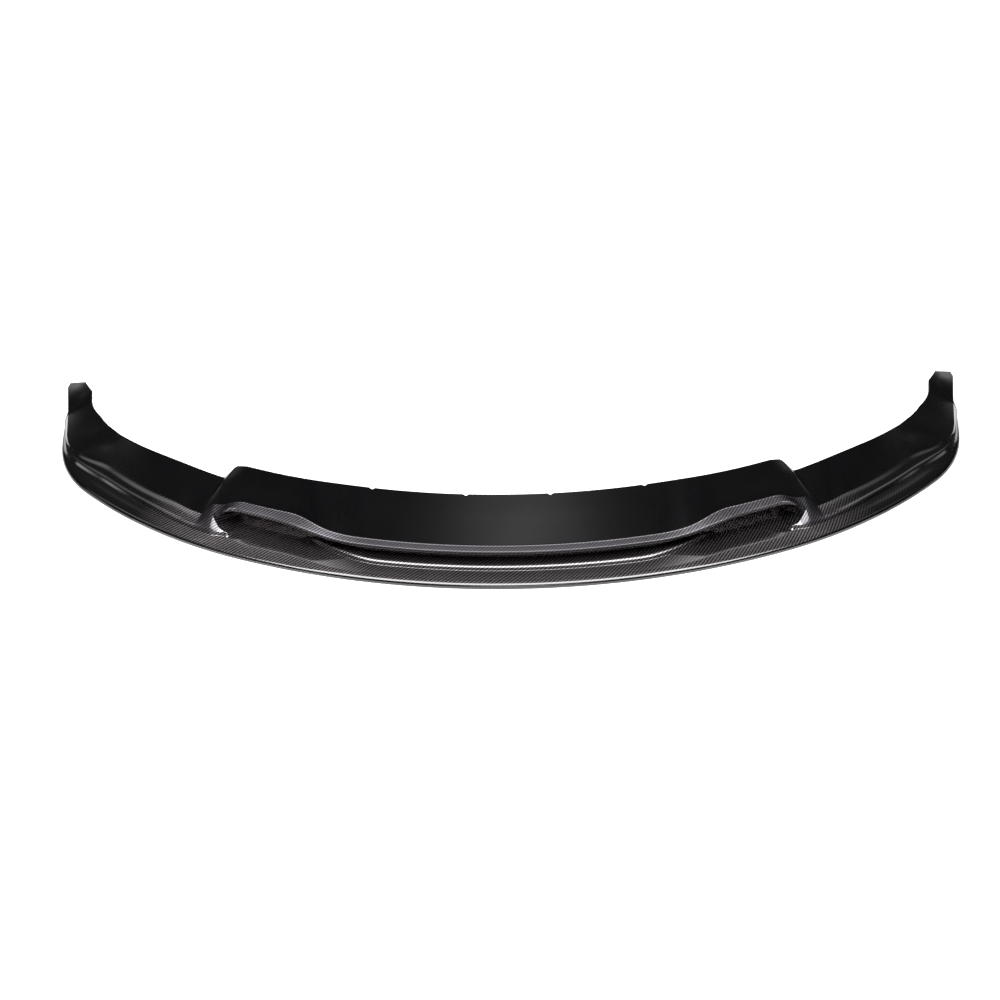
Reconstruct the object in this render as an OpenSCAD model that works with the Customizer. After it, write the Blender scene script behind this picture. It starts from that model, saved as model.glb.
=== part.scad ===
// Front splitter lip for a car: one thin moulded laminate, open underneath.
// Its section changes along the rim, from the centre tier, through two inlets under a
// hood, past a pillar each side, to a stepped wing and an ear at each end.
// Lengths along the rim are measured from the centre line. Insets run inward from it.

/* [Rim in plan] */
// Half length of the broad centre arc
centre_arc = 492; // [440:1:540]
// Radius of the centre arc
centre_radius = 1325; // [1150:5:1600]
// Length of the arc along each wing
wing_arc = 353; // [320:1:390]
// Radius of the wing arc
wing_radius = 850; // [760:5:960]
// Length of the tight arc at each front corner
corner_arc = 149; // [135:1:160]
// Radius of the tight corner arc
corner_radius = 217; // [200:1:240]

/* [Laminate and rim] */
// Thickness of the laminate
wall = 2.5; // [1.8:0.1:2.8]
// Width of the flat return under the rim
return_w = 24; // [18:1:32]
// Height of the rim's front face
rim_h = 8; // [7:0.5:9]
// Inset of the crease behind the rim at the centre
crease_in = 11; // [9:0.5:13]
// Height of that crease
crease_h = 11; // [10:0.5:12]
// Inset of the crease in front of each inlet
inlet_crease_in = 27; // [20:1:30]
// Height of the blade at the foot of the step
blade_h = 14; // [13:0.5:15]

/* [Tier on the blade] */
// Height of the step from the blade up to the tier
step_h = 6; // [4.5:0.5:7]
// Inset of the step's crest at the centre
tier_in = 39.5; // [37:0.5:42]
// Half length over which the centre tier keeps its inset
tier_flat = 230; // [200:5:250]
// Length over which the centre tier sweeps back under the hood
tier_sweep = 190; // [170:5:200]
// How far its crest goes back over that length
tier_sweep_in = 60; // [50:1:66]

/* [Hood] */
// Height of the nose's lower edge at the centre
nose_h = 31.5; // [30:0.5:34]
// Height of the nose's lower edge over the inlets
inlet_nose_h = 48.5; // [44:0.5:52]
// Thickness of the nose
nose_t = 7.5; // [7:0.5:9]
// Inset of the nose at the centre
nose_in = 55; // [52:0.5:58]
// Inset of the nose over the inlets
inlet_nose_in = 66; // [62:0.5:70]
// Depth of the shelf between the nose and the flange
shelf_w = 16; // [13:0.5:20]
// Where the hood starts to rise over the inlet
hood_rise_at = 280; // [260:5:290]
// Length over which it rises
hood_rise = 147; // [130:1:160]
// Inset of the recess behind the nose at the centre
recess_in = 76; // [73:0.5:82]
// Inset of the back of each inlet
inlet_back_in = 112; // [100:1:118]

/* [Pillar between inlet and wing] */
// Where the tier's pointed corner stands
point_at = 531; // [525:1:537]
// Where each inlet's opening ends
inlet_end = 568; // [564:1:574]
// Length over which the opening rounds off to its end
inlet_round = 18; // [14:1:22]
// Height at which the opening's floor and roof meet at its end
inlet_end_h = 34; // [30:0.5:38]
// Inset at which they meet
inlet_end_in = 50; // [47:0.5:54]
// Width of the pillar, from the opening's end to the wing's ledge
pillar_w = 32; // [28:1:38]

/* [Mounting flange] */
// Height of the flange's top edge behind the hood
flange_h = 118; // [108:1:126]
// Inset of that edge
flange_in = 117; // [113:1:122]
// Height of the flange's top edge on the wings
wing_flange_h = 80; // [76:1:86]
// Inset of that edge at its inner end
wing_flange_in = 109.5; // [106:0.5:113]
// How far the hood's side edge leans towards the centre from its foot to its top
hood_edge_lean = 33; // [26:1:36]
// Depth of the small notches in the top edge
notch_d = 3; // [1:0.5:4]
// Half width of each notch
notch_half_w = 6; // [4:0.5:8]
// Where the inner pair of notches lies
notch_inner_at = 81; // [70:1:95]
// Where the outer pair of notches lies
notch_outer_at = 264; // [255:1:272]

/* [Wing] */
// Height of the wing's crest
wing_crest_h = 20; // [18.5:0.5:21]
// Inset of the crest along the wing
wing_crest_in = 39; // [36:0.5:42]
// Inset of the ledge's inner edge, where the flange rises
ledge_in = 62; // [58:0.5:66]
// Height of the ledge's inner edge
ledge_h = 28; // [26:0.5:30]
// Where the wing starts to narrow towards its end
taper_at = 840; // [820:5:860]
// Length over which it narrows
taper = 182; // [160:2:190]
// Inset of the flange's foot past the taper
end_base_in = 10; // [9:0.5:12]

/* [Ears] */
// Where the flange folds up into the ear
ear_at = 1076; // [1070:1:1084]
// How far the ear goes back
ear_back = 43; // [36:1:50]
// How far the ear rises
ear_rise = 41; // [34:1:48]
// How far the ear's rear outer corner is cut in
ear_chamfer = 5; // [3:0.5:10]
// How far the ear's inner edge tapers in
ear_taper = 12; // [6:0.5:16]

/* [Hidden] */

// Step from 0 to 1 while a goes from start to end: a straight slope whose two ends are
// eased over the share of it given by ease
function clamp(t) = max(0, min(1, t));
function eased(t, ease) =
    t > 0.5 ? 1 - eased(1 - t, ease) :
    t < ease ? t * t / (2 * ease * (1 - ease)) : (t - ease / 2) / (1 - ease);
function ramp(a, start, end, ease = 0.5) = eased(clamp((a - start) / (end - start)), ease);
function mix(p, q, t) = p + (q - p) * t;

// A size that changes in steps: each stage is [start, end, new value], and its ease if that
// isn't a half
function staged(a, first, stages) =
    first + sum([for (k = [0:len(stages) - 1])
        let (stage = stages[k])
        (stage[2] - (k == 0 ? first : stages[k - 1][2]))
            * ramp(a, stage[0], stage[1], len(stage) > 3 ? stage[3] : 0.5)]);
function sum(v, k = 0) = k >= len(v) ? 0 : v[k] + sum(v, k + 1);

// Arcs of the rim, each as [length, radius]
arcs = [[centre_arc, centre_radius], [wing_arc, wing_radius], [corner_arc, corner_radius]];

// Point and heading of the rim at length a: [x, y, heading]
function along(a, k = 0, at = [0, 0, 0]) =
    k == len(arcs)
    ? [at.x + a * cos(at.z), at.y + a * sin(at.z), at.z]
    : let (
        len_here = min(a, arcs[k][0]),
        radius = arcs[k][1],
        turned = at.z + len_here / radius * 180 / PI,
        x = at.x + radius * (sin(turned) - sin(at.z)),
        y = at.y + radius * (cos(at.z) - cos(turned))
    )
    along(a - len_here, k + 1, [x, y, turned]);

// Lengths along the rim that the features share
hood_rise_end = hood_rise_at + hood_rise;
tier_end = tier_flat + tier_sweep;
pillar_end = inlet_end + pillar_w;
taper_end = taper_at + taper;
ear_len = norm([ear_back, ear_rise]);
lip_end = ear_at + ear_len;
hood_edge_at = inlet_end + 5;
edge_ease = 0.2;

// Where the narrowed wing ends: insets of its crease and crest, the crest's drop and the
// width of the return
end_crease_in = 3.4;
end_crest_in = 7.5;
end_crest_drop = 5;
end_return_w = 6;

// Height of the tier's edge above the inlet's floor where the opening ends
pillar_step = 6;

// Length over which the wing draws up into a skirt below the ear's fold, and that skirt's
// inset and drop at the fold
skirt_len = 80;
skirt_drop = [8, 15];

// The flange's shallow bend, as shares of its width and height, and the shares of the ear
// from which it tapers and its corner is cut in
bend_across = 0.53;
bend_up = 0.56;
taper_from = 0.5;
chamfer_from = 0.86;

// Stages of each size that changes along the rim
function crease_in_at(a) = staged(a, crease_in, [
    [hood_rise_at, hood_rise_end, inlet_crease_in],
    [point_at - 30, pillar_end - 10, crease_in + 1],
    [taper_at + 50, taper_end - 20, end_crease_in]]);
function crease_h_at(a) = staged(a, crease_h, [
    [hood_rise_at, hood_rise_end, mix(crease_h, blade_h, 0.7)],
    [point_at - 30, pillar_end - 10, crease_h + 0.5],
    [taper_at + 50, taper_end - 20, crease_h - 0.5]]);
function base_in_at(a) = staged(a, nose_in + shelf_w - 3, [
    [hood_rise_at + 50, hood_rise_end, inlet_nose_in + shelf_w + 1],
    [point_at - 21, hood_edge_at, ledge_in + 8],
    [hood_edge_at, pillar_end, ledge_in - 5, edge_ease],
    [pillar_end + 4, pillar_end + 80, ledge_in],
    [taper_at, taper_end, end_base_in]]);
function base_h_at(a) = staged(a, nose_h + nose_t + 3.5, [
    [hood_rise_at, hood_rise_end, inlet_nose_h + nose_t + 4.5],
    [point_at - 16, hood_edge_at, inlet_nose_h + 2],
    [hood_edge_at, pillar_end, ledge_h, edge_ease],
    [taper_at + 60, taper_end - 12, wing_crest_h]]);
function nose_in_at(a) = staged(a, nose_in, [
    [hood_rise_at + 60, hood_rise_end + 48, inlet_nose_in],
    [point_at - 11, inlet_end, inlet_end_in]]);
function nose_h_at(a) = staged(a, nose_h, [
    [hood_rise_at, hood_rise_end, inlet_nose_h],
    [inlet_end - 26, inlet_end, inlet_end_h]]);
function back_in_at(a) = staged(a, recess_in, [
    [hood_rise_at - 10, hood_rise_at + 100, inlet_back_in],
    [inlet_end - 32, inlet_end, recess_in + 4]]);
function top_in_at(a) = staged(a, flange_in, [
    [hood_rise_at, hood_rise_end + 40, flange_in - 3.5],
    [hood_edge_at - 33, hood_edge_at + 33, flange_in - 18.5],
    [hood_edge_at, pillar_end, wing_flange_in, edge_ease],
    [pillar_end + 40, taper_at + 20, wing_flange_in - 12],
    [taper_at + 50, ear_at - 66, wing_flange_in - 22],
    [ear_at - 111, ear_at - 2, wing_flange_in - 51]]);
function top_h_at(a) = staged(a, flange_h, [
    [hood_edge_at, pillar_end, wing_flange_h, edge_ease],
    [taper_at - 100, ear_at + 104, wing_flange_h - 30]]);
function notch_at(a) =
    notch_d * max([for (at = [notch_inner_at, notch_outer_at]) clamp(1 - abs(a - at) / notch_half_w)]);

// The crest of the tier: along the centre, back under the hood, forward again on the
// inlet's floor where it has no height, and from the pointed corner along the wing
function crest_in_at(a) =
    let (
        swept = tier_in + tier_sweep_in * (1 - cos(90 * clamp((a - tier_flat) / tier_sweep))),
        on_wing = staged(a, tier_in - 1, [
            [point_at, inlet_end, wing_crest_in - 7],
            [pillar_end - 10, pillar_end + 160, wing_crest_in],
            [taper_at - 20, taper_end - 7, end_crest_in]])
    )
    mix(swept, on_wing, ramp(a, tier_end + 16, point_at - 9));
function tier_up(a) = 1 - ramp(a, tier_end - 70, tier_end - 18) + ramp(a, point_at - 5, point_at + 3);
function crest_h_at(a) =
    mix(mix(blade_h, mix(blade_h + step_h, wing_crest_h, ramp(a, tier_end, point_at)), tier_up(a)),
        wing_crest_h - end_crest_drop, ramp(a, taper_at + 90, taper_end - 10));

// The mounting flange at length a, as its foot, bend and top edge, each as [inset, height].
// In the ear its lean eases, and its corners are cut in.
function flange(a) =
    let (
        ear = clamp((a - ear_at) / ear_len),
        foot_0 = [base_in_at(a), base_h_at(a)],
        top_0 = [top_in_at(a), top_h_at(a)],
        foot = foot_0 + [3 * ear + ear_chamfer * ramp(ear, chamfer_from, 1, 0), 0],
        top_in = top_0.x - ear_taper * ramp(ear, taper_from, 1, 0),
        lean = (1 - ear) * (top_0.y - foot_0.y) / (top_0.x - foot_0.x),
        top = [top_in, ear > 0 ? foot.y + lean * (top_in - foot.x) : top_0.y],
        bend = [mix(foot.x, top.x, bend_across), mix(foot.y, top.y, mix(bend_up, bend_across, ear))]
    )
    [foot, bend, top - notch_at(a) * unit(top - bend)];

// Places of the six corners between crest and foot, as shares of the ledge's width:
// bunched where the opening closes, and spread over a hollow curve along the wing
closing_shares = [0.5, 0.54, 0.58, 0.62, 0.66, 0.8];
function ledge_point(k, a, crest, foot) =
    let (
        on_wing = ramp(a, inlet_end, pillar_end + 60),
        share = mix(closing_shares[k], (k + 1) / 7, on_wing)
    )
    [mix(crest.x, foot.x, share), mix(crest.y, foot.y, pow(share, 1 + on_wing))];

// The fifteen corners of the section at length a, each as [inset, height]:
// return, rim foot, rim top, crease, step foot, step crest, tier edge, tier foot,
// recess floor, recess roof, nose underside, nose top, flange foot, flange bend, flange top
function corners(a) = a > ear_at ? ear_corners(flange(a)) : lip_corners(a, flange(a));
function ear_corners(standing) = concat(
    [for (k = [0:12]) mix(standing[0], standing[1], k / 13)],
    [standing[1], standing[2]]);
function lip_corners(a, standing) =
    let (
        tip = ramp(a, taper_at + 50, taper_end - 20),
        skirt = ramp(a, ear_at - skirt_len, ear_at),
        crest = [crest_in_at(a), crest_h_at(a)],
        foot = standing[0],
        nose = [nose_in_at(a), nose_h_at(a)],
        back = back_in_at(a),
        at_pillar = ramp(a, point_at - 13, point_at + 2),
        past_point = clamp((a - point_at) / (inlet_end - point_at)),
        tier_edge = [
            mix(mix(crest.x, back, 0.4), mix(crest.x + 0.7, inlet_end_in, past_point), at_pillar),
            mix(crest.y + 0.5, mix(crest.y, inlet_end_h, past_point * past_point), at_pillar)],
        tier_foot = [
            mix(mix(crest.x, back, 0.75), tier_edge.x + 3.5, at_pillar),
            mix(crest.y + 0.5, mix(blade_h, tier_edge.y - pillar_step, past_point), at_pillar)],
        open = [
            tier_edge,
            tier_foot,
            [back, tier_foot.y],
            [back - 1, nose.y - 1.5],
            [nose.x + 0.5, nose.y],
            [nose.x - 1, nose.y + nose_t]],
        closing = clamp((a - inlet_end + inlet_round) / inlet_round),
        shut = 1 - sqrt(1 - closing * closing),
        nose_shut = ramp(a, inlet_end - 2 * inlet_round, inlet_end),
        wing = concat([
            [mix(return_w, end_return_w, tip), 0],
            [0, 0],
            [0.6, rim_h],
            [crease_in_at(a), crease_h_at(a)],
            [crest.x - mix(step_h - 0.5, 2, tip), mix(blade_h, crest.y - step_h + 3.5, tip)],
            crest],
            [for (k = [0:5]) mix(open[k], ledge_point(k, a, crest, foot), k == 5 ? nose_shut : shut)])
    )
    concat([for (k = [0:11]) mix(wing[k], foot - skirt_drop * (12 - k) / 12, skirt)], standing);

// How far each corner's rounding reaches along its two sides, and its number of points
function reach(k, a) =
    let (on_wing = ramp(a, inlet_end, pillar_end + 20))
    [0, 2, 2.6, mix(3, 8, on_wing), 2, 3.5, 1.6, 3, 4, 3.6, 2.5, 2.5, mix(4, 11, on_wing), 15, 0][k];
corner_points = [1, 2, 2, 1, 1, 3, 1, 1, 1, 1, 2, 2, 2, 1, 1];
last_corner = len(corner_points) - 1;

// Points that round the corner q between its neighbours p and r
function rounded(p, q, r, size, count) =
    count == 1 ? [q] :
    let (
        before = q + (p - q) / norm(p - q) * min(size, 0.49 * norm(p - q)),
        after = q + (r - q) / norm(r - q) * min(size, 0.49 * norm(r - q))
    )
    [for (k = [0:count - 1])
        let (t = k / (count - 1))
        (1 - t) * (1 - t) * before + 2 * t * (1 - t) * q + t * t * after];

function section(a) =
    let (c = corners(a))
    [for (k = [0:last_corner])
        each rounded(c[max(k - 1, 0)], c[k], c[min(k + 1, last_corner)], reach(k, a), corner_points[k])];

// Share of the lean that each point of a section takes, from 0 at the foot to 1 at the top
lean_share = [for (k = [0:last_corner])
    each [for (n = [1:corner_points[k]]) k == last_corner ? 1 : k == last_corner - 1 ? 0.4 : 0]];

// Above the pillar the stations lean towards the centre, along the hood's side edge
function lean_at(a) = staged(a, 0, [
    [tier_end + 60, hood_edge_at, hood_edge_lean],
    [hood_edge_at, pillar_end, 0.62 * hood_edge_lean, edge_ease],
    [pillar_end, pillar_end + 70, 0]]);

// A section's points in place, on the side given by side = 1 or -1
function placed(a, side) =
    let (c = section(a))
    [for (k = [0:len(c) - 1])
        let (
            here = a - lean_at(a) * lean_share[k],
            past = max(here - ear_at, 0),
            rim = along(here - past),
            ear = past / ear_len,
            x = rim.x + ear_back * ear * cos(rim.z) - c[k].x * sin(rim.z),
            y = rim.y + ear_back * ear * sin(rim.z) + c[k].x * cos(rim.z)
        )
        [side * x, y, c[k].y + ear_rise * ear]];

// Lengths at which sections stand on one half, closer where the form changes
function steps(from, to, count) = [for (k = [0:count - 1]) mix(from, to, k / count)];
function sorted(v) =
    len(v) <= 1 ? v :
    let (pivot = v[floor(len(v) / 2)])
    concat(sorted([for (x = v) if (x < pivot) x]), [pivot], sorted([for (x = v) if (x > pivot) x]));
function spaced(v, gap) =
    [for (k = [0:len(v) - 1]) if (k == 0 || v[k] - v[k - 1] > gap) v[k]];
chamfer_at = mix(ear_at, lip_end, chamfer_from);
half_stations = spaced(sorted(concat(
    [for (at = [notch_inner_at, notch_outer_at], d = [-1, 0, 1]) at + d * notch_half_w],
    [tier_flat / 6, tier_flat * 0.57, tier_flat * 0.78, tier_flat],
    steps(hood_rise_at, tier_end + 10, 8),
    steps(tier_end + 10, point_at - 9, 3),
    steps(point_at - 9, point_at + 9, 5),
    steps(point_at + 9, inlet_end - inlet_round, 2),
    [for (angle = [0:22.5:90]) inlet_end - inlet_round * (1 - sin(angle))],
    [for (t = [0, 0.06, 0.14, 0.38, 0.62, 0.86, 0.94, 1]) mix(hood_edge_at, pillar_end, t)],
    steps(pillar_end + 12, taper_at, 6),
    steps(taper_at, ear_at - skirt_len, 6),
    steps(ear_at - skirt_len, ear_at, 5),
    [ear_at + 5],
    steps(ear_at, chamfer_at, 4),
    [chamfer_at, (chamfer_at + lip_end) / 2, lip_end])), 0.5);

outer = concat(
    [for (k = [len(half_stations) - 1:-1:0]) placed(half_stations[k], -1)],
    [placed(0, 1)],
    [for (a = half_stations) placed(a, 1)]);
rows = len(outer);
cols = len(outer[0]);

// Step from a point of the inner skin out to the outer skin: its normal, from the middle
// line of its neighbours, times the wall, and longer in a corner to keep the wall there
function unit(v) = v / norm(v);
mitre_limit = 1.4;
function outward(i, j) =
    let (
        p = outer[i][j],
        along_rim = outer[min(i + 1, rows - 1)][j] - outer[max(i - 1, 0)][j],
        across = (j < cols - 1 ? unit(outer[i][j + 1] - p) : [0, 0, 0])
            + (j > 0 ? unit(p - outer[i][j - 1]) : [0, 0, 0]),
        mitre = j > 0 && j < cols - 1 ? min(mitre_limit, 2 / norm(across)) : 1
    )
    wall * mitre * unit(cross(along_rim, across));
inner = [for (i = [0:rows - 1]) [for (j = [0:cols - 1]) outer[i][j] - outward(i, j)]];

depth = max([for (row = concat(outer, inner)) for (p = row) p.y]);

// Two triangles for each quad, with the diagonal mirrored about the centre line
function quad(a, b, c, d, flip) = flip ? [[a, b, c], [a, c, d]] : [[a, b, d], [b, c, d]];
function at_outer(i, j) = i * cols + j;
function at_inner(i, j) = (rows + i) * cols + j;

module splitter_lip() {
    left_half = floor(rows / 2);
    skins = [for (i = [0:rows - 2], j = [0:cols - 2])
        let (left = i < left_half)
        each concat(
            quad(at_outer(i, j), at_outer(i, j + 1), at_outer(i + 1, j + 1), at_outer(i + 1, j), left),
            quad(at_inner(i, j), at_inner(i + 1, j), at_inner(i + 1, j + 1), at_inner(i, j + 1), left))];
    edges = [for (i = [0:rows - 2])
        let (top = cols - 1)
        each concat(
            quad(at_outer(i, 0), at_outer(i + 1, 0), at_inner(i + 1, 0), at_inner(i, 0), false),
            quad(at_outer(i, top), at_inner(i, top), at_inner(i + 1, top), at_outer(i + 1, top), false))];
    ends = [for (j = [0:cols - 2])
        let (last = rows - 1)
        each concat(
            quad(at_outer(0, j), at_inner(0, j), at_inner(0, j + 1), at_outer(0, j + 1), false),
            quad(at_outer(last, j), at_outer(last, j + 1), at_inner(last, j + 1), at_inner(last, j), false))];
    color("#17171a")
        translate([0, -depth / 2, 0])
            polyhedron(points = [each for (row = concat(outer, inner)) row], faces = concat(skins, edges, ends));
}

splitter_lip();
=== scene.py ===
"""Looks of the front splitter lip: its dense laminate skin, carbon weave, studio and camera."""

import math

import bpy
import numpy as np
from mathutils import Matrix, Vector


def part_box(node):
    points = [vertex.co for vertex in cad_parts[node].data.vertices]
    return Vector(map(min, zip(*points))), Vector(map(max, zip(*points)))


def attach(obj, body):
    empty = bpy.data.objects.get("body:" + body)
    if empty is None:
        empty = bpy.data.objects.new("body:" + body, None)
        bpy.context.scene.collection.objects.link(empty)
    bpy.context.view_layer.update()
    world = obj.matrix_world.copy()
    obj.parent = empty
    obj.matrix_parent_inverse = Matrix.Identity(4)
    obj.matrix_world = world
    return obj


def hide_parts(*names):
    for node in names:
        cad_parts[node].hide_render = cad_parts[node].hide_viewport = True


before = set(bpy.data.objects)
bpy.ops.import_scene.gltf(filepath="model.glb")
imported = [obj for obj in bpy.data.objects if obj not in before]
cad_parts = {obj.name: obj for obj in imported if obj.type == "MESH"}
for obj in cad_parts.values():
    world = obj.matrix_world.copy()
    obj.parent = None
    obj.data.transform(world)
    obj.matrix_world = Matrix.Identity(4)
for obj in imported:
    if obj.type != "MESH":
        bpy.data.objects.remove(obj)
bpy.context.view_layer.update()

# Camera: it looks at a point on the lip from this far, in metres, with the angles in degrees
AIM = Vector((0.0036, -0.0864, 0.05))
DISTANCE = 4.5
PITCH = 39
YAW = 0.953
ROLL = -1.311
SENSOR = 36  # width of the sensor in millimetres
FOCAL_SHARE = 2.526  # focal length over that width
SHIFT_X = -0.011
FAR_CLIP = 100


def add_object(name, data):
    added = bpy.data.objects.new(name, data)
    bpy.context.scene.collection.objects.link(added)
    return added


def add_camera():
    pitch, yaw, roll = (math.radians(a) for a in (PITCH, YAW, ROLL))
    forward = Vector((-math.sin(yaw) * math.cos(pitch), math.cos(yaw) * math.cos(pitch), -math.sin(pitch)))
    level = Vector((math.cos(yaw), math.sin(yaw), 0))
    upright = level.cross(forward)
    right = level * math.cos(roll) + upright * math.sin(roll)
    up = -level * math.sin(roll) + upright * math.cos(roll)
    turn = Matrix((right, up, -forward)).transposed().to_4x4()
    data = bpy.data.cameras.new("photo_view")
    data.sensor_width = SENSOR
    data.lens = SENSOR * FOCAL_SHARE
    data.shift_x = SHIFT_X
    data.clip_end = FAR_CLIP
    camera = add_object("photo_view", data)
    camera.matrix_world = Matrix.Translation(AIM - forward * DISTANCE) @ turn
    bpy.context.scene.camera = camera


# Sizes of the lip in millimetres, as in the part's source. Lengths along the rim, a, start at
# the centre, insets run inward from the rim, and heights up from the floor.
CENTRE_ARC, CENTRE_RADIUS = 492, 1325
WING_ARC, WING_RADIUS = 353, 850
CORNER_ARC, CORNER_RADIUS = 149, 217
WALL = 2.5
RETURN_W = 24
RIM_H = 8
CREASE_IN, CREASE_H = 11, 11
INLET_CREASE_IN = 27
BLADE_H = 14
STEP_H = 6
TIER_IN, TIER_FLAT = 39.5, 230
TIER_SWEEP, TIER_SWEEP_IN = 190, 60
NOSE_H, INLET_NOSE_H, NOSE_T = 31.5, 48.5, 7.5
NOSE_IN, INLET_NOSE_IN = 55, 66
SHELF_W = 16
HOOD_RISE_AT, HOOD_RISE = 280, 147
RECESS_IN, INLET_BACK_IN = 76, 112
POINT_AT = 531
INLET_END, INLET_ROUND = 568, 18
INLET_END_H, INLET_END_IN = 34, 50
PILLAR_W = 32
FLANGE_H, FLANGE_IN = 118, 117
WING_FLANGE_H, WING_FLANGE_IN = 80, 109.5
HOOD_EDGE_LEAN = 33
NOTCH_D, NOTCH_HALF_W = 3, 6
NOTCHES_AT = (81, 264)
WING_CREST_H, WING_CREST_IN = 20, 39
LEDGE_IN, LEDGE_H = 62, 28
TAPER_AT, TAPER = 840, 182
END_BASE_IN = 10
EAR_AT, EAR_BACK, EAR_RISE = 1076, 43, 41
EAR_CHAMFER, EAR_TAPER = 5, 12

# Lengths along the rim that the features share
HOOD_RISE_END = HOOD_RISE_AT + HOOD_RISE
TIER_END = TIER_FLAT + TIER_SWEEP
PILLAR_END = INLET_END + PILLAR_W
TAPER_END = TAPER_AT + TAPER
EAR_LEN = math.hypot(EAR_BACK, EAR_RISE)
LIP_END = EAR_AT + EAR_LEN
HOOD_EDGE_AT = INLET_END + 5
EDGE_EASE = 0.2

# Where the narrowed wing ends: insets of its crease and crest, the crest's drop, and the width
# of the return
END_CREASE_IN, END_CREST_IN = 3.4, 7.5
END_CREST_DROP = 5
END_RETURN_W = 6

RIM_LEAN = 0.6  # how far the rim's face leans in from its foot to its top
PILLAR_STEP = 6  # height of the tier's edge above the inlet's floor where the opening ends
SKIRT_LEN = 80  # length over which the wing draws up into a skirt below the ear's fold
SKIRT_DROP = np.array([8, 15])  # that skirt's inset and drop at the fold

# The flange's shallow bend, as shares of its width and height, how far its foot moves in along
# the ear, and the shares of the ear from which it tapers and its corner is cut in
BEND_ACROSS, BEND_UP = 0.53, 0.56
EAR_FOOT_IN = 3
TAPER_FROM, CHAMFER_FROM = 0.5, 0.86


def clamp(t):
    return max(0, min(1, t))


def mix(p, q, t):
    return p + (q - p) * t


def point(inset, height):
    return np.array([inset, height], float)


def unit(v):
    return v / np.linalg.norm(v, axis=-1, keepdims=True)


def eased(t, ease):
    if t > 0.5:
        return 1 - eased(1 - t, ease)
    return t * t / (2 * ease * (1 - ease)) if t < ease else (t - ease / 2) / (1 - ease)


def ramp(a, start, end, ease=0.5):
    """Step from 0 to 1 while a goes from start to end: a straight slope whose two ends are eased
    over the share of it given by ease."""
    return eased(clamp((a - start) / (end - start)), ease)


def staged(a, first, *stages):
    """A size that changes in steps along the rim: each stage is (start, end, new value, ease)."""
    value, size = first, first
    for start, end, target, *ease in stages:
        size += (target - value) * ramp(a, start, end, *ease)
        value = target
    return size


def along(a):
    """Point and heading of the rim at length a."""
    x = y = heading = 0
    arcs = ((CENTRE_ARC, CENTRE_RADIUS), (WING_ARC, WING_RADIUS), (CORNER_ARC, CORNER_RADIUS))
    for length, radius in arcs:
        here = min(a, length)
        turned = heading + here / radius
        x += radius * (math.sin(turned) - math.sin(heading))
        y += radius * (math.cos(heading) - math.cos(turned))
        heading = turned
        a -= here
    return x + a * math.cos(heading), y + a * math.sin(heading), heading


def crease(a):
    return point(
        staged(a, CREASE_IN,
               (HOOD_RISE_AT, HOOD_RISE_END, INLET_CREASE_IN),
               (POINT_AT - 30, PILLAR_END - 10, CREASE_IN + 1),
               (TAPER_AT + 50, TAPER_END - 20, END_CREASE_IN)),
        staged(a, CREASE_H,
               (HOOD_RISE_AT, HOOD_RISE_END, mix(CREASE_H, BLADE_H, 0.7)),
               (POINT_AT - 30, PILLAR_END - 10, CREASE_H + 0.5),
               (TAPER_AT + 50, TAPER_END - 20, CREASE_H - 0.5)))


def flange_base(a):
    return point(
        staged(a, NOSE_IN + SHELF_W - 3,
               (HOOD_RISE_AT + 50, HOOD_RISE_END, INLET_NOSE_IN + SHELF_W + 1),
               (POINT_AT - 21, HOOD_EDGE_AT, LEDGE_IN + 8),
               (HOOD_EDGE_AT, PILLAR_END, LEDGE_IN - 5, EDGE_EASE),
               (PILLAR_END + 4, PILLAR_END + 80, LEDGE_IN),
               (TAPER_AT, TAPER_END, END_BASE_IN)),
        staged(a, NOSE_H + NOSE_T + 3.5,
               (HOOD_RISE_AT, HOOD_RISE_END, INLET_NOSE_H + NOSE_T + 4.5),
               (POINT_AT - 16, HOOD_EDGE_AT, INLET_NOSE_H + 2),
               (HOOD_EDGE_AT, PILLAR_END, LEDGE_H, EDGE_EASE),
               (TAPER_AT + 60, TAPER_END - 12, WING_CREST_H)))


def flange_top(a):
    return point(
        staged(a, FLANGE_IN,
               (HOOD_RISE_AT, HOOD_RISE_END + 40, FLANGE_IN - 3.5),
               (HOOD_EDGE_AT - 33, HOOD_EDGE_AT + 33, FLANGE_IN - 18.5),
               (HOOD_EDGE_AT, PILLAR_END, WING_FLANGE_IN, EDGE_EASE),
               (PILLAR_END + 40, TAPER_AT + 20, WING_FLANGE_IN - 12),
               (TAPER_AT + 50, EAR_AT - 66, WING_FLANGE_IN - 22),
               (EAR_AT - 111, EAR_AT - 2, WING_FLANGE_IN - 51)),
        staged(a, FLANGE_H,
               (HOOD_EDGE_AT, PILLAR_END, WING_FLANGE_H, EDGE_EASE),
               (TAPER_AT - 100, EAR_AT + 104, WING_FLANGE_H - 30)))


def nose(a):
    return point(
        staged(a, NOSE_IN,
               (HOOD_RISE_AT + 60, HOOD_RISE_END + 48, INLET_NOSE_IN),
               (POINT_AT - 11, INLET_END, INLET_END_IN)),
        staged(a, NOSE_H,
               (HOOD_RISE_AT, HOOD_RISE_END, INLET_NOSE_H),
               (INLET_END - 26, INLET_END, INLET_END_H)))


def recess_back(a):
    return staged(a, RECESS_IN,
                  (HOOD_RISE_AT - 10, HOOD_RISE_AT + 100, INLET_BACK_IN),
                  (INLET_END - 32, INLET_END, RECESS_IN + 4))


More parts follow.
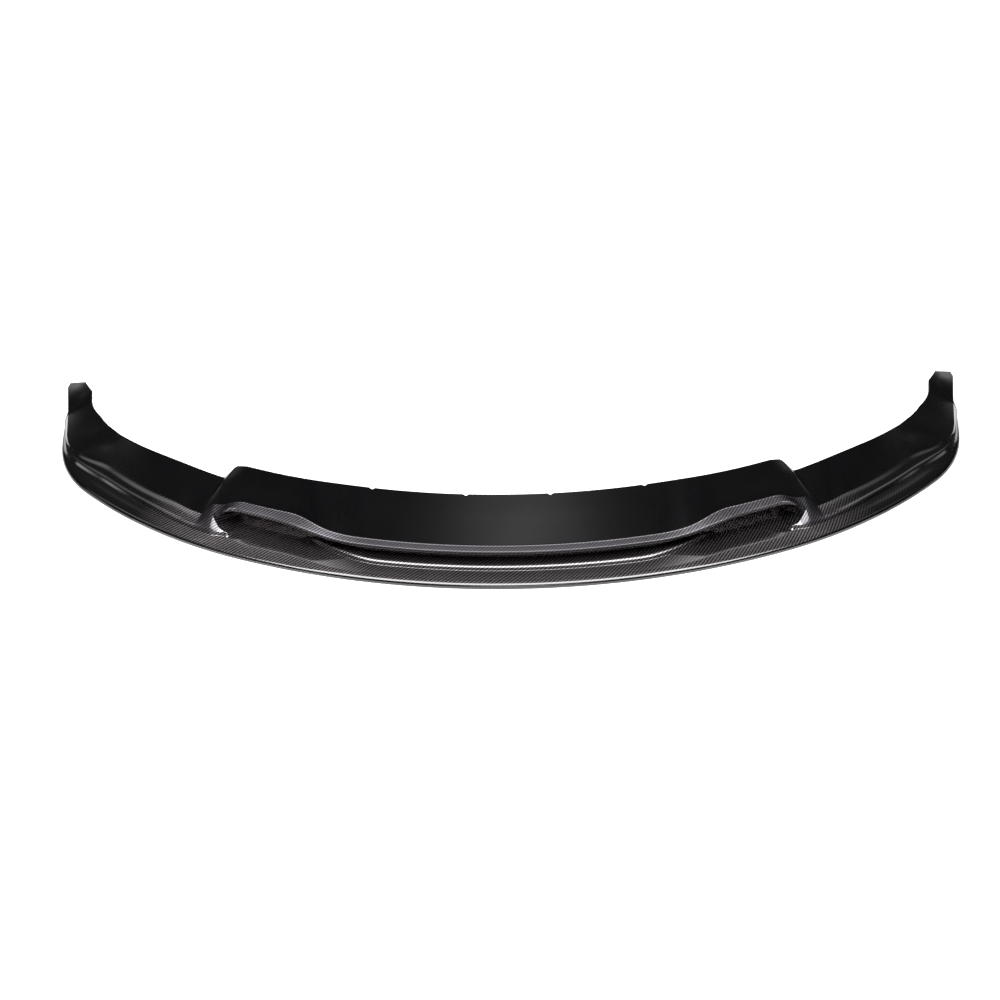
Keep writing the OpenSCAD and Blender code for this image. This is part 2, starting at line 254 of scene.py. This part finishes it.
def crest(a):
    """The tier's crest: along the centre, back under the hood, forward again on the inlet's floor,
    where it has no height, and from the pointed corner along the wing."""
    swept = TIER_IN + TIER_SWEEP_IN * (1 - math.cos(math.pi / 2 * clamp((a - TIER_FLAT) / TIER_SWEEP)))
    on_wing = staged(a, TIER_IN - 1,
                     (POINT_AT, INLET_END, WING_CREST_IN - 7),
                     (PILLAR_END - 10, PILLAR_END + 160, WING_CREST_IN),
                     (TAPER_AT - 20, TAPER_END - 7, END_CREST_IN))
    tier_up = 1 - ramp(a, TIER_END - 70, TIER_END - 18) + ramp(a, POINT_AT - 5, POINT_AT + 3)
    height = mix(BLADE_H, mix(BLADE_H + STEP_H, WING_CREST_H, ramp(a, TIER_END, POINT_AT)), tier_up)
    return point(mix(swept, on_wing, ramp(a, TIER_END + 16, POINT_AT - 9)),
                 mix(height, WING_CREST_H - END_CREST_DROP, ramp(a, TAPER_AT + 90, TAPER_END - 10)))


def flange(a):
    """Foot, bend and top edge of the mounting flange. In the ear its lean eases, and its corners
    are cut in."""
    ear = clamp((a - EAR_AT) / EAR_LEN)
    base, upper = flange_base(a), flange_top(a)
    foot = base + point(EAR_FOOT_IN * ear + EAR_CHAMFER * ramp(ear, CHAMFER_FROM, 1, 0), 0)
    top_in = upper[0] - EAR_TAPER * ramp(ear, TAPER_FROM, 1, 0)
    slope = (1 - ear) * (upper[1] - base[1]) / (upper[0] - base[0])
    top = point(top_in, foot[1] + slope * (top_in - foot[0]) if ear > 0 else upper[1])
    bend = point(mix(foot[0], top[0], BEND_ACROSS),
                 mix(foot[1], top[1], mix(BEND_UP, BEND_ACROSS, ear)))
    notch = NOTCH_D * max(clamp(1 - abs(a - at) / NOTCH_HALF_W) for at in NOTCHES_AT)
    return [foot, bend, top - notch * unit(top - bend)]


# The section's fifteen corners are, in order across the laminate: return, rim foot, rim top,
# crease, step foot, step crest, tier edge, tier foot, recess floor, recess roof, nose underside,
# nose top, flange foot, flange bend, flange top. These are the numbers of some of them.
STEP_FOOT, NOSE_UNDERSIDE, FLANGE_FOOT, FLANGE_BEND = 4, 10, 12, 13
CORNER_POINTS = [1, 5, 5, 4, 4, 7, 3, 4, 4, 4, 5, 5, 6, 4, 1]  # points that round each corner
LONGEST_REACH = 0.49  # of a side of the section, for the rounding of the corners at its ends
LEAN_AT_BEND = 0.4  # share of the hood's side lean that the flange's bend takes

# Places of the six corners between crest and foot where the opening closes, as shares of the
# ledge's width
CLOSING_SHARES = (0.5, 0.54, 0.58, 0.62, 0.66, 0.8)

# The first columns of the satin pillar and shelf, and of the black flange
PILLAR_FROM = sum(CORNER_POINTS[:STEP_FOOT + 1]) + 1
SHELF_FROM = sum(CORNER_POINTS[:NOSE_UNDERSIDE]) + 1
FLANGE_FROM = sum(CORNER_POINTS[:FLANGE_FOOT]) + 2


def corners(a):
    """The fifteen corners of the section at length a, from the return under the rim to the top."""
    standing = flange(a)
    foot, bend, top = standing
    if a > EAR_AT:
        return [mix(foot, bend, k / FLANGE_BEND) for k in range(FLANGE_BEND)] + [bend, top]
    tip = ramp(a, TAPER_AT + 50, TAPER_END - 20)
    skirt = ramp(a, EAR_AT - SKIRT_LEN, EAR_AT)
    ridge, lip, back = crest(a), nose(a), recess_back(a)
    at_pillar = ramp(a, POINT_AT - 13, POINT_AT + 2)
    past_point = clamp((a - POINT_AT) / (INLET_END - POINT_AT))
    centre_edge = point(mix(ridge[0], back, 0.4), ridge[1] + 0.5)
    pillar_edge = mix(ridge + point(0.7, 0), point(INLET_END_IN, INLET_END_H),
                      point(past_point, past_point ** 2))
    tier_edge = mix(centre_edge, pillar_edge, at_pillar)
    centre_foot = point(mix(ridge[0], back, 0.75), ridge[1] + 0.5)
    pillar_foot = point(tier_edge[0] + 3.5, mix(BLADE_H, tier_edge[1] - PILLAR_STEP, past_point))
    tier_foot = mix(centre_foot, pillar_foot, at_pillar)
    opening = [tier_edge, tier_foot, point(back, tier_foot[1]), point(back - 1, lip[1] - 1.5),
               lip + point(0.5, 0), lip + point(-1, NOSE_T)]
    closing = clamp((a - INLET_END + INLET_ROUND) / INLET_ROUND)
    shut = [1 - math.sqrt(1 - closing ** 2)] * (len(opening) - 1)
    shut.append(ramp(a, INLET_END - 2 * INLET_ROUND, INLET_END))
    on_wing = ramp(a, INLET_END, PILLAR_END + 60)
    step_foot = point(ridge[0] - mix(STEP_H - 0.5, 2, tip),
                      mix(BLADE_H, ridge[1] - STEP_H + 3.5, tip))
    wing = [point(mix(RETURN_W, END_RETURN_W, tip), 0), point(0, 0), point(RIM_LEAN, RIM_H),
            crease(a), step_foot, ridge]
    for k, corner in enumerate(opening):
        share = mix(CLOSING_SHARES[k], (k + 1) / (len(opening) + 1), on_wing)
        ledge = point(mix(ridge[0], foot[0], share), mix(ridge[1], foot[1], share ** (1 + on_wing)))
        wing.append(mix(corner, ledge, shut[k]))
    return [mix(corner, foot - SKIRT_DROP * (FLANGE_FOOT - k) / FLANGE_FOOT, skirt)
            for k, corner in enumerate(wing)] + standing


def reach(a):
    """How far the rounding of each corner goes along its two sides."""
    at_crease = mix(3, 8, ramp(a, INLET_END, PILLAR_END + 20))
    return [0, 2, 5.5, at_crease, 0.5, 4.5, 1.6, 3, 4, 3.6, 2.5, 2.5, 2, 15, 0]


def section(a):
    """Points across the laminate at length a, with each corner rounded, and the share of the lean
    that each one takes."""
    c, sizes, points = corners(a), reach(a), []
    for k, count in enumerate(CORNER_POINTS):
        if count == 1:
            points.append(c[k])
            continue
        before, after = c[k - 1] - c[k], c[k + 1] - c[k]
        p = c[k] + unit(before) * min(sizes[k], LONGEST_REACH * np.linalg.norm(before))
        r = c[k] + unit(after) * min(sizes[k], LONGEST_REACH * np.linalg.norm(after))
        for t in np.linspace(0, 1, count):
            points.append((1 - t) ** 2 * p + 2 * t * (1 - t) * c[k] + t * t * r)
    points = np.array(points)
    foot = sum(CORNER_POINTS[:FLANGE_BEND]) - 1
    bend = 1 + CORNER_POINTS[FLANGE_BEND] // 2
    steps = np.linalg.norm(np.diff(points[foot:], axis=0), axis=1)
    run = np.concatenate([[0], np.cumsum(steps)])
    share = np.zeros(len(points))
    share[foot:] = np.interp(run, [0, run[bend], run[-1]], [0, LEAN_AT_BEND, 1])
    return points, share


def lean(a):
    """How far the flange's top leans towards the centre above its foot, round the hood's side edge."""
    return staged(a, 0,
                  (TIER_END + 60, HOOD_EDGE_AT, HOOD_EDGE_LEAN),
                  (HOOD_EDGE_AT, PILLAR_END, 0.62 * HOOD_EDGE_LEAN, EDGE_EASE),
                  (PILLAR_END, PILLAR_END + 70, 0))


def placed(a):
    """Points of the section in place, and where each lies on the cloth: length, inset and height."""
    points, share = section(a)
    out, cloth = [], []
    for (inset, height), s in zip(points, share):
        here = a - lean(a) * s
        past = max(here - EAR_AT, 0)
        x, y, heading = along(here - past)
        ear = past / EAR_LEN
        out.append((x + EAR_BACK * ear * math.cos(heading) - inset * math.sin(heading),
                    y + EAR_BACK * ear * math.sin(heading) + inset * math.cos(heading),
                    height + EAR_RISE * ear))
        cloth.append((here, inset, height))
    return np.array(out), np.array(cloth)


# Stretches of the rim and how many sections stand on each, closer where the form changes, and
# the sections on the ear
STRETCHES = [(0, 72, 18), (72, 90, 12), (90, 256, 36), (256, 273, 12), (273, 430, 52),
             (430, 515, 34), (515, 550, 32), (550, INLET_END, 30), (INLET_END, PILLAR_END, 36),
             (PILLAR_END, 700, 26), (700, TAPER_AT, 24), (TAPER_AT, EAR_AT - SKIRT_LEN, 30),
             (EAR_AT - SKIRT_LEN, EAR_AT, 24), (EAR_AT, EAR_AT + 5, 1)]
EAR_SECTIONS = 22


def stations():
    """Lengths along one half of the rim at which the sections stand."""
    spans = [np.linspace(start, end, count, endpoint=False) for start, end, count in STRETCHES]
    return np.concatenate(spans + [np.linspace(EAR_AT + 5, LIP_END, EAR_SECTIONS)])


def skin_grid():
    """Points of the outer skin by station and column, and the same grid as laid on the cloth."""
    half = [placed(a) for a in stations()]
    right = np.array([p for p, _ in half])
    cloth = np.array([c for _, c in half])
    mirror = np.array([-1, 1, 1])
    grid = np.concatenate([(right * mirror)[:0:-1], right])
    cloth = np.concatenate([(cloth * mirror)[:0:-1], cloth])
    return grid, cloth


MITRE_LIMIT = 1.4


def inner_skin(grid):
    """The skin's other face, one wall inside it, and further in a corner to keep the wall there."""
    along_rim = np.empty_like(grid)
    along_rim[1:-1] = grid[2:] - grid[:-2]
    along_rim[0], along_rim[-1] = grid[1] - grid[0], grid[-1] - grid[-2]
    step = unit(grid[:, 1:] - grid[:, :-1])
    across = np.zeros_like(grid)
    across[:, 1:] += step
    across[:, :-1] += step
    size = np.linalg.norm(across, axis=2, keepdims=True)
    mitre = np.minimum(MITRE_LIMIT, 2 / size)
    mitre[:, 0] = mitre[:, -1] = 1
    return grid - WALL * mitre * unit(np.cross(along_rim, across))


GLOSS, SATIN, BLACK, RAW = range(4)  # the finishes, in the order of the skin's material slots
SHARP_FROM = 50  # degrees between two faces from which their edge is drawn sharp


def build_skin(low_y):
    """The whole laminate as one closed mesh, with the finish of each of its faces."""
    outer, cloth = skin_grid()
    rows, cols = outer.shape[:2]
    verts = np.concatenate([outer.reshape(-1, 3), inner_skin(outer).reshape(-1, 3)])
    laid = np.concatenate([cloth.reshape(-1, 3)] * 2)
    far = rows * cols  # from a point of the outer skin to its pair on the inner one
    i, j = (n.ravel() for n in np.meshgrid(np.arange(rows - 1), np.arange(cols - 1), indexing="ij"))
    corner = i * cols + j
    quads = np.stack([corner, corner + 1, corner + cols + 1, corner + cols], 1)

    station = np.abs(cloth[:-1, 0, 0] + cloth[1:, 0, 0])[i] / 2
    satin_from = np.where(station < INLET_END, SHELF_FROM, FLANGE_FROM)
    at_pillar = (station > INLET_END - INLET_ROUND) & (station < PILLAR_END)
    satin_from = np.where(at_pillar, PILLAR_FROM, satin_from)
    black = (j >= FLANGE_FROM) | (station > EAR_AT)
    outer_finish = np.where(black, BLACK, np.where(j >= satin_from, SATIN, GLOSS))

    row = np.arange(rows - 1) * cols
    top = row + cols - 1
    first = np.arange(cols - 1)
    last = first + (rows - 1) * cols
    edges = [np.stack([row, row + cols, row + cols + far, row + far], 1),
             np.stack([top, top + far, top + cols + far, top + cols], 1),
             np.stack([first, first + far, first + far + 1, first + 1], 1),
             np.stack([last, last + 1, last + far + 1, last + far], 1)]
    faces = np.concatenate([quads[:, ::-1], quads + far] + edges)
    finishes = np.full(len(faces), RAW, np.int32)
    finishes[:len(quads)] = outer_finish

    verts[:, 1] += low_y - verts[:, 1].min()
    mesh = bpy.data.meshes.new("splitter_lip_skin")
    mesh.from_pydata((verts * 0.001).tolist(), [], faces.tolist())
    mesh.polygons.foreach_set("material_index", finishes)
    mesh.polygons.foreach_set("use_smooth", np.ones(len(faces), bool))
    mesh.set_sharp_from_angle(angle=math.radians(SHARP_FROM))
    return mesh, verts, laid


# By length along the rim, from the left: how far the weave follows the rim's curve, and a painted
# sheen that stands in for the light the tows catch. It makes the tows' colour paler or darker by
# place: highest on the inlets, higher on the left than on the right, and low on the wings, where the
# cloth's lay turns out of the light.
CURVE_FOLLOWED = [(-250, 0.3), (250, 1)]
PAINTED_TOW_SHEEN = [(-1135, 0.02), (-720, 0.06), (-630, 0.9), (-540, 1.1), (-420, 1.1), (-250, 0.38),
             (0, 0.33), (250, 0.38), (420, 0.85), (540, 0.85), (620, 0.5), (700, 0.05), (1135, 0.02)]
# By inset, the share of that painted sheen: less of it round the rim's edge, so that the highlight there
# shows smooth
RIM_PAINTED_SHEEN = [(4, 0.2), (9, 1)]
CLOTH_RISE = 0.8  # share of a point's height that the cloth runs on for


def lay_cloth(mesh, verts, laid):
    """Where each point lies on the cloth, in metres, and the tows' painted sheen there, as the attribute
    that the weave reads."""
    length, inset, height = laid.T
    share = np.interp(length, *zip(*CURVE_FOLLOWED))[:, None]
    followed = laid[:, :2]
    flat = np.stack([verts[:, 0], verts[:, 1] - verts[:, 1].min()], 1)
    spread = share * followed + (1 - share) * flat
    spread[:, 1] += CLOTH_RISE * height
    painted_sheen = np.interp(length, *zip(*PAINTED_TOW_SHEEN)) * np.interp(inset, *zip(*RIM_PAINTED_SHEEN))
    values = np.column_stack([spread * 0.001, painted_sheen]).astype(np.float32)
    mesh.attributes.new("cloth", "FLOAT_VECTOR", "POINT").data.foreach_set("vector", values.ravel())


class Link:
    """A socket whose arithmetic adds Math nodes."""

    def __init__(self, shader, socket):
        self.shader, self.socket = shader, socket

    def _math(self, operation, *values):
        return self.shader.node("ShaderNodeMath", {"operation": operation}, *values)[0]

    def __add__(self, other):
        return self._math("ADD", self, other)

    def __sub__(self, other):
        return self._math("SUBTRACT", self, other)

    def __rsub__(self, other):
        return self._math("SUBTRACT", other, self)

    def __mul__(self, other):
        return self._math("MULTIPLY", self, other)

    def __truediv__(self, other):
        return self._math("DIVIDE", self, other)

    def __mod__(self, other):
        return self._math("FLOORED_MODULO", self, other)

    def __lt__(self, other):
        return self._math("LESS_THAN", self, other)

    __radd__ = __add__
    __rmul__ = __mul__

    def floor(self):
        return self._math("FLOOR", self)

    def sine(self):
        return self._math("SINE", self)

    def clipped(self):
        return self._math("MINIMUM", self._math("MAXIMUM", self, 0), 1)


class Shader:
    """The nodes of one material, or of the room's light."""

    def __init__(self, owner):
        owner.use_nodes = True
        self.tree = owner.node_tree
        self.tree.nodes.clear()

    def node(self, kind, settings=None, *values, **named):
        """A node of any kind: its settings are set first, then the values or links of its sockets,
        in their order or by name. Returns its outputs as links."""
        node = self.tree.nodes.new(kind)
        for name, value in (settings or {}).items():
            setattr(node, name, value)
        sockets = [s for s in node.inputs if s.enabled]
        by_name = {s.name.replace(" ", "_"): s for s in reversed(sockets)}
        pairs = list(zip(sockets, values)) + [(by_name[name], value) for name, value in named.items()]
        for socket, value in pairs:
            if isinstance(value, Link):
                self.tree.links.new(value.socket, socket)
            else:
                socket.default_value = value
        return [Link(self, s) for s in node.outputs if s.enabled]

    def blend(self, low, high, share):
        return self.node("ShaderNodeMix", {"data_type": "RGBA"}, share, low, high)[0]

    def noise(self, place, scale):
        return self.node("ShaderNodeTexNoise", {"noise_dimensions": "3D"}, Vector=place, Scale=scale)[0]

    def surface(self, **sockets):
        finish = self.node("ShaderNodeBsdfPrincipled", None, **sockets)[0]
        self.node("ShaderNodeOutputMaterial", None, finish)


def rgb(r, g, b):
    return (r, g, b, 1)


def new_material(name):
    material = bpy.data.materials.new(name)
    return material, Shader(material)


TOW = 0.0019  # width of one tow of the cloth, in metres
REPEAT, OVER = 4, 2  # tows in one repeat of the twill, and how many a tow passes over at a time


def weave(shader):
    """2 x 2 twill: the place on the cloth, whether the upper tow is a warp tow, how high its crown stands,
    and the tows' painted sheen."""
    cloth = shader.node("ShaderNodeAttribute", {"attribute_name": "cloth"})[1]
    x, y, painted_sheen = shader.node("ShaderNodeSeparateXYZ", None, cloth)
    u, v = x / TOW, y / TOW
    i, j = u.floor(), v.floor()
    warp = ((i - j) % REPEAT) < OVER
    warp_run = ((v - i + 1) % REPEAT) / OVER
    weft_run = (((u - j) % REPEAT) - OVER) / OVER
    across = warp * (u - i) + (1 - warp) * (v - j)
    run = warp * warp_run + (1 - warp) * weft_run
    crown = (1 - (across * 2 - 1) * (across * 2 - 1)) * (run * math.pi).sine()
    return cloth, warp, crown, painted_sheen


EDGE_GLEAM = 0.55  # share of its sheen that a pale tow keeps at its edges
DARK_GLEAM = 0.12  # share of the sheen on the crown of a dark tow
CLOTH_DRIFT = 0.4  # how much the sheen varies from place to place on the cloth
COAT_BY_SHEEN = 60  # the coat fades only where the painted sheen is below 1/60, round the rim's far ends


def carbon(name, dark, pale, roughness, coat, coat_roughness):
    """Lacquered cloth: the tows that run across the light show pale, and the others dark."""
    material, shader = new_material(name)
    cloth, warp, crown, painted_sheen = weave(shader)
    drift = shader.noise(cloth, 22)
    tow = (1 - warp) * (EDGE_GLEAM + crown * (1 - EDGE_GLEAM)) + warp * crown * DARK_GLEAM
    # painted sheen: the pale tows' colour is scaled by place along the rim, standing in for the light they
    # catch
    gleam = tow * painted_sheen * (1 - CLOTH_DRIFT / 2 + drift * CLOTH_DRIFT)
    normal = shader.node("ShaderNodeBump", None, Strength=0.08, Distance=0.0002, Height=crown)[0]
    shader.surface(Base_Color=shader.blend(dark, pale, gleam.clipped()), Metallic=1, Roughness=roughness,
                   Normal=normal, Coat_Weight=(painted_sheen * COAT_BY_SHEEN).clipped() * coat,
                   Coat_Roughness=coat_roughness, Coat_IOR=1.9)
    return material


def satin_black(name):
    """Black lacquer without gloss, with a trace of the cloth under it."""
    material, shader = new_material(name)
    cloth, _, crown, _ = weave(shader)
    drift = shader.noise(cloth, 9)
    colour = shader.blend(rgb(0.0022, 0.0022, 0.0026), rgb(0.0042, 0.0041, 0.0048),
                          (crown * 0.5 + drift * 0.5).clipped())
    shader.surface(Base_Color=colour, Roughness=0.24 + drift * 0.08, Specular_IOR_Level=0.3)
    return material


def raw_laminate(name):
    """The inner face as it comes from the mould: bare cloth in dull resin."""
    material, shader = new_material(name)
    _, warp, crown, _ = weave(shader)
    tow = (1 - warp) * crown * 0.6 + warp * crown * 0.25
    colour = shader.blend(rgb(0.010, 0.010, 0.011), rgb(0.045, 0.044, 0.046), tow.clipped())
    normal = shader.node("ShaderNodeBump", None, Strength=0.6, Distance=0.0003, Height=crown)[0]
    shader.surface(Base_Color=colour, Roughness=0.55, Normal=normal)
    return material


def build_lip():
    low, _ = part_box("splitter_lip")
    mesh, verts, laid = build_skin(low.y * 1000)
    lay_cloth(mesh, verts, laid)
    finishes = [carbon("gloss_carbon", rgb(0.0045, 0.004, 0.0043), rgb(0.54, 0.485, 0.5),
                       roughness=0.34, coat=1, coat_roughness=0.08),
                carbon("satin_carbon", rgb(0.03, 0.028, 0.032), rgb(0.21, 0.195, 0.217),
                       roughness=0.4, coat=0.3, coat_roughness=0.14),
                satin_black("satin_black"),
                raw_laminate("raw_laminate")]
    for finish in finishes:
        mesh.materials.append(finish)
    skin = add_object("splitter_lip_skin", mesh)
    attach(skin, "root")
    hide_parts("splitter_lip")


CAMERA_RAY, GLOSSY_RAY, TRANSMISSION_RAY = 0, 3, 6  # numbers of the Light Path's outputs
FLOOR_HALF = 30  # half of the floor's width, in metres
FLOOR_GLOW = 0.92
FLOOR_MIRRORED = 0.45  # share of that glow that glossy surfaces mirror


def white_surface(name):
    """Pale where it lights the lip, and whitened for what the camera sees, straight or mirrored."""
    material, shader = new_material(name)
    path = shader.node("ShaderNodeLightPath")
    seen = (path[CAMERA_RAY] + path[GLOSSY_RAY] * FLOOR_MIRRORED + path[TRANSMISSION_RAY]).clipped()
    pale = shader.node("ShaderNodeBsdfDiffuse", None, Color=rgb(0.8, 0.8, 0.8))[0]
    glow = shader.node("ShaderNodeEmission", None, Color=rgb(1, 1, 1), Strength=FLOOR_GLOW)[0]
    lit = shader.node("ShaderNodeAddShader", None, pale, glow)[0]
    mixed = shader.node("ShaderNodeMixShader", None, seen, pale, lit)[0]
    shader.node("ShaderNodeOutputMaterial", None, mixed)
    return material


def add_floor():
    mesh = bpy.data.meshes.new("studio_floor")
    signs = [(-1, -1), (1, -1), (1, 1), (-1, 1)]
    mesh.from_pydata([(x * FLOOR_HALF, y * FLOOR_HALF, 0) for x, y in signs], [], [(0, 1, 2, 3)])
    mesh.materials.append(white_surface("studio_white"))
    floor = add_object("studio_floor", mesh)


# Soft panels of the room: elevation over the back, in degrees up to 180 at the front, side, from -1 at
# the left to 1 at the right, half height in degrees, half width, and strength
PANELS = [(80, 0, 12, 1.2, 0.12),
          (43, 0, 12, 0.24, 2.1),
          (154, 0.02, 7, 0.17, 5.5),
          (75, -0.59, 9, 0.12, 0.9),
          (79, 0.57, 8, 0.1, 0.4),
          (92, -0.925, 12, 0.05, 1.8),
          (92, 0.925, 12, 0.05, 1)]
# Strength of the bare room in front and behind, and how far forward and back it changes
ROOM_FRONT, ROOM_BACK = 0.02, 0.06
ROOM_FADE = (-0.3, 0.4)
ROOM_BLUE = 1.03
# The softbox over the lip: elevation over the back, and distance, width and depth in metres
SOFTBOX_OVER, SOFTBOX_AWAY = 103, 3
SOFTBOX_WIDE, SOFTBOX_DEEP = 3.4, 1.8
SOFTBOX_STRENGTH = 7.6


def add_softbox():
    data = bpy.data.lights.new("softbox_top", "AREA")
    data.shape = "RECTANGLE"
    data.size, data.size_y = SOFTBOX_WIDE, SOFTBOX_DEEP
    data.energy = SOFTBOX_STRENGTH * SOFTBOX_WIDE * SOFTBOX_DEEP * math.pi
    lamp = add_object("softbox_top", data)
    over = math.radians(SOFTBOX_OVER)
    away = Vector((0, math.cos(over), math.sin(over)))
    lamp.location = away * SOFTBOX_AWAY
    lamp.rotation_euler = away.to_track_quat("Z", "Y").to_euler()


def light_studio():
    """A dark room with soft-edged panels behind, in front and at the sides, and a softbox above."""
    world = bpy.data.worlds.new("studio")
    bpy.context.scene.world = world
    shader = Shader(world)
    path = shader.node("ShaderNodeLightPath")
    direction = shader.node("ShaderNodeTexCoord")[0]
    x, y, z = shader.node("ShaderNodeSeparateXYZ", None, direction)
    elevation = shader.node("ShaderNodeMath", {"operation": "ARCTAN2"}, z, y)[0] * math.degrees(1)
    light = shader.node("ShaderNodeMapRange", None, y, *ROOM_FADE, ROOM_FRONT, ROOM_BACK)[0]
    for height, side, half_height, half_width, strength in PANELS:
        up = (elevation - height) / half_height
        out = (x - side) / half_width
        near = (1 - up * up * 0.5 - out * out * 0.5).clipped()
        light = light + near * near * strength
    room = shader.node("ShaderNodeCombineColor", None, light, light, light * ROOM_BLUE)[0]
    lit = shader.node("ShaderNodeBackground", None, room, 1)[0]
    white = shader.node("ShaderNodeBackground", None, rgb(1, 1, 1), 1)[0]
    mixed = shader.node("ShaderNodeMixShader", None, path[CAMERA_RAY], lit, white)[0]
    shader.node("ShaderNodeOutputWorld", None, mixed)
    add_softbox()


bpy.context.scene.view_settings.view_transform = "Standard"
add_camera()
build_lip()
add_floor()
light_studio()
